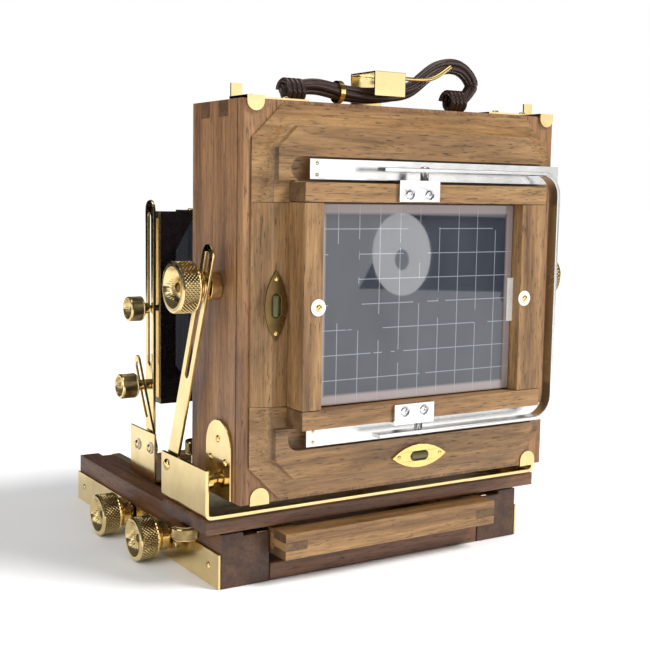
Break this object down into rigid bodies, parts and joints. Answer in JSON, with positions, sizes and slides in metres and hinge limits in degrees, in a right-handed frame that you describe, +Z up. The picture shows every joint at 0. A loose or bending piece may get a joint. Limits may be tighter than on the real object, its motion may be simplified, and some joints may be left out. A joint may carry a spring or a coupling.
{
  "type": "large format view camera",
  "caption": "Folding wooden field camera with a flat bed, tilting rear body with spring back and ground glass, pleated bellows and a rising, tilting front standard.",
  "frame": {"origin": "centre of the bed's underside, halfway between its rails and its ends", "axes": "+Z up, +Y from the ground glass towards the lens, +X to the right seen from behind"},
  "size_m": [0.2502, 0.251, 0.2857],
  "materials": {
    "walnut": "oiled, satin",
    "dark_walnut": "oiled, satin",
    "brass": "polished gold plate",
    "stainless": "fine brushed",
    "chrome": "polished",
    "ground_glass": "finely ground with a pale grid",
    "black_lacquer": "black lacquer",
    "bellows_cloth": "coated bellows cloth",
    "leather": "smooth, slightly glossy"
  },
  "bodies": {
    "bed": {"base_rail_left": "dark_walnut", "base_rail_right": "dark_walnut", "side_plate_left": "brass", "side_plate_right": "brass", "base_rear_rail": "dark_walnut", "base_front_rail": "dark_walnut", "tripod_board": "walnut", "tripod_plate": "brass"},
    "bed_lock": {"bed_lock_knob": "brass"},
    "focus_carriage": {"focus_frame": "walnut", "focus_rack_left": "brass", "focus_rack_right": "brass", "front_bracket": "brass"},
    "focus_drive": {"focus_shaft": "brass", "focus_knob_left": "brass", "focus_knob_right": "brass"},
    "rear_carriage": {"platform_board": "walnut", "platform_bracket": "brass", "tilt_pivot_left": "brass", "tilt_pivot_right": "brass"},
    "platform_lock": {"platform_lock_knob": "brass"},
    "swing_lock": {"swing_lock_knob": "brass"},
    "rear_standard": {"body_box": "walnut", "hinge_plate_left": "brass", "hinge_plate_right": "brass", "tilt_boss_left": "dark_walnut", "tilt_boss_right": "dark_walnut", "back_panel": "walnut", "level_side": "brass", "level_bottom": "brass", "leaf_spring_top": "stainless", "leaf_spring_bottom": "stainless", "handle_cords": "leather", "bellows": "bellows_cloth"},
    "catch_lever": {"closing_catch": "brass"},
    "focusing_screen": {"screen_frame": "walnut", "ground_glass": "ground_glass", "screen_bracket_top": "stainless", "screen_bracket_bottom": "stainless"},
    "bail_lever": {"bail": "chrome"},
    "front_standard": {"front_post_left": "brass", "front_post_right": "brass"},
    "lens_standard": {"lens_frame": "black_lacquer", "lens_board": "black_lacquer"},
    "board_latch": {"lens_board_latch": "brass"},
    "latch_slider_left": {"back_latch_left": "brass"},
    "rear_strut_left_arm": {"rear_strut_left": "brass"},
    "tilt_slider_left": {"tilt_collar_left": "brass"},
    "tilt_knob_turn_left": {"tilt_knob_left": "brass"},
    "front_link_left_arm": {"front_link_left": "brass"},
    "front_tilt_knob_turn_left": {"front_tilt_knob_left": "brass"},
    "rise_knob_turn_left": {"rise_knob_left": "brass"},
    "latch_slider_right": {"back_latch_right": "brass"},
    "rear_strut_right_arm": {"rear_strut_right": "brass"},
    "tilt_slider_right": {"tilt_collar_right": "brass"},
    "tilt_knob_turn_right": {"tilt_knob_right": "brass"},
    "front_link_right_arm": {"front_link_right": "brass"},
    "front_tilt_knob_turn_right": {"front_tilt_knob_right": "brass"},
    "rise_knob_turn_right": {"rise_knob_right": "brass"}
  },
  "joints": [
    {"name": "focus", "type": "slide", "parent": "bed", "child": "focus_carriage", "axis": [0, 1, 0], "range_m": [0, 0.08], "deforming": ["bellows"]},
    {"name": "focus_drive_turn", "type": "hinge", "parent": "bed", "child": "focus_drive", "pos_m": [0, 0.0166, 0.0128], "axis": [-1, 0, 0], "range_deg": [0, 1320]},
    {"name": "bed_lock_turn", "type": "hinge", "parent": "bed", "child": "bed_lock", "pos_m": [-0.11, -0.0384, 0.0128], "axis": [1, 0, 0], "range_deg": [0, 120]},
    {"name": "rear_focus", "type": "slide", "parent": "bed", "child": "rear_carriage", "axis": [0, 1, 0], "range_m": [0, 0.025], "deforming": ["bellows"]},
    {"name": "platform_lock_turn", "type": "hinge", "parent": "rear_carriage", "child": "platform_lock", "pos_m": [-0.1098, -0.0814, 0.027], "axis": [0, 0, 1], "range_deg": [0, 90]},
    {"name": "swing_lock_turn", "type": "hinge", "parent": "rear_carriage", "child": "swing_lock", "pos_m": [-0.092, -0.0565, 0.055], "axis": [0, 0, 1], "range_deg": [0, 180]},
    {"name": "rear_tilt", "type": "hinge", "parent": "rear_carriage", "child": "rear_standard", "pos_m": [0, -0.0994, 0.0585], "axis": [-1, 0, 0], "range_deg": [-12, 15], "deforming": ["bellows"]},
    {"name": "catch_flex", "type": "hinge", "parent": "rear_standard", "child": "catch_lever", "pos_m": [0, -0.0924, 0.2513], "axis": [1, 0, 0], "range_deg": [0, 6], "stiffness_Nm_per_rad": 0.5, "springref_deg": -1.15},
    {"name": "screen_travel", "type": "slide", "parent": "rear_standard", "child": "focusing_screen", "axis": [0, -1, 0], "range_m": [0, 0.013], "stiffness_N_per_m": 400, "springref_m": -0.01, "deforming": ["leaf_spring_top", "leaf_spring_bottom"]},
    {"name": "bail_swing", "type": "hinge", "parent": "focusing_screen", "child": "bail_lever", "pos_m": [-0.004, -0.1422, 0.1502], "axis": [0, 0, -1], "range_deg": [0, 36]},
    {"name": "front_tilt", "type": "hinge", "parent": "focus_carriage", "child": "front_standard", "pos_m": [0, 0.0346, 0.049], "axis": [-1, 0, 0], "range_deg": [-10, 10], "deforming": ["bellows"]},
    {"name": "lens_rise", "type": "slide", "parent": "front_standard", "child": "lens_standard", "axis": [0, 0, 1], "range_m": [-0.02, 0.03], "deforming": ["bellows"]},
    {"name": "board_latch_travel", "type": "slide", "parent": "lens_standard", "child": "board_latch", "axis": [0, 0, 1], "range_m": [0, 0.006]},
    {"name": "rear_strut_swing_left", "type": "hinge", "parent": "rear_carriage", "child": "rear_strut_left_arm", "pos_m": [-0.10785, -0.0601, 0.0587], "axis": [-1, 0, 0], "range_deg": [-10.8, 13.4]},
    {"name": "tilt_slide_left", "type": "slide", "parent": "rear_strut_left_arm", "child": "tilt_slider_left", "axis": [0, -0.3516, 0.9361], "range_m": [-0.01, 0.008]},
    {"name": "tilt_knob_spin_left", "type": "hinge", "parent": "tilt_slider_left", "child": "tilt_knob_turn_left", "pos_m": [-0.118, -0.0974, 0.158], "axis": [-1, 0, 0], "range_deg": [0, 270]},
    {"name": "back_latch_slide_left", "type": "slide", "parent": "rear_standard", "child": "latch_slider_left", "axis": [-1, 0, 0], "range_m": [0, 0.0115]},
    {"name": "front_link_swing_left", "type": "hinge", "parent": "focus_carriage", "child": "front_link_left_arm", "pos_m": [-0.08475, 0.016, 0.05], "axis": [-1, 0, 0], "range_deg": [-8.2, 8.2]},
    {"name": "front_tilt_knob_spin_left", "type": "hinge", "parent": "front_standard", "child": "front_tilt_knob_turn_left", "pos_m": [-0.0945, 0.0346, 0.086], "axis": [-1, 0, 0], "range_deg": [0, 270]},
    {"name": "rise_knob_spin_left", "type": "hinge", "parent": "lens_standard", "child": "rise_knob_turn_left", "pos_m": [-0.0897, 0.0346, 0.1335], "axis": [-1, 0, 0], "range_deg": [0, 270]},
    {"name": "rear_strut_swing_right", "type": "hinge", "parent": "rear_carriage", "child": "rear_strut_right_arm", "pos_m": [0.10785, -0.0601, 0.0587], "axis": [-1, 0, 0], "range_deg": [-10.8, 13.4]},
    {"name": "tilt_slide_right", "type": "slide", "parent": "rear_strut_right_arm", "child": "tilt_slider_right", "axis": [0, -0.3516, 0.9361], "range_m": [-0.01, 0.008]},
    {"name": "tilt_knob_spin_right", "type": "hinge", "parent": "tilt_slider_right", "child": "tilt_knob_turn_right", "pos_m": [0.118, -0.0974, 0.158], "axis": [1, 0, 0], "range_deg": [0, 270]},
    {"name": "back_latch_slide_right", "type": "slide", "parent": "rear_standard", "child": "latch_slider_right", "axis": [1, 0, 0], "range_m": [0, 0.0115]},
    {"name": "front_link_swing_right", "type": "hinge", "parent": "focus_carriage", "child": "front_link_right_arm", "pos_m": [0.08475, 0.016, 0.05], "axis": [-1, 0, 0], "range_deg": [-8.2, 8.2]},
    {"name": "front_tilt_knob_spin_right", "type": "hinge", "parent": "front_standard", "child": "front_tilt_knob_turn_right", "pos_m": [0.0945, 0.0346, 0.086], "axis": [1, 0, 0], "range_deg": [0, 270]},
    {"name": "rise_knob_spin_right", "type": "hinge", "parent": "lens_standard", "child": "rise_knob_turn_right", "pos_m": [0.0897, 0.0346, 0.1335], "axis": [1, 0, 0], "range_deg": [0, 270]}
  ],
  "couplings": [
    {"joint": "focus_drive_turn", "follows": "focus", "rad_per_m": 285.71},
    {"joint": "bail_swing", "follows": "screen_travel", "rad_per_m": 47},
    {"joint": "rear_strut_swing_left", "follows": "rear_tilt", "ratio": 0.88},
    {"joint": "tilt_slide_left", "follows": "rear_tilt", "m_per_rad": -0.037},
    {"joint": "front_link_swing_left", "follows": "front_tilt", "ratio": 0.81},
    {"joint": "rear_strut_swing_right", "follows": "rear_tilt", "ratio": 0.88},
    {"joint": "tilt_slide_right", "follows": "rear_tilt", "m_per_rad": -0.037},
    {"joint": "front_link_swing_right", "follows": "front_tilt", "ratio": 0.81}
  ]
}
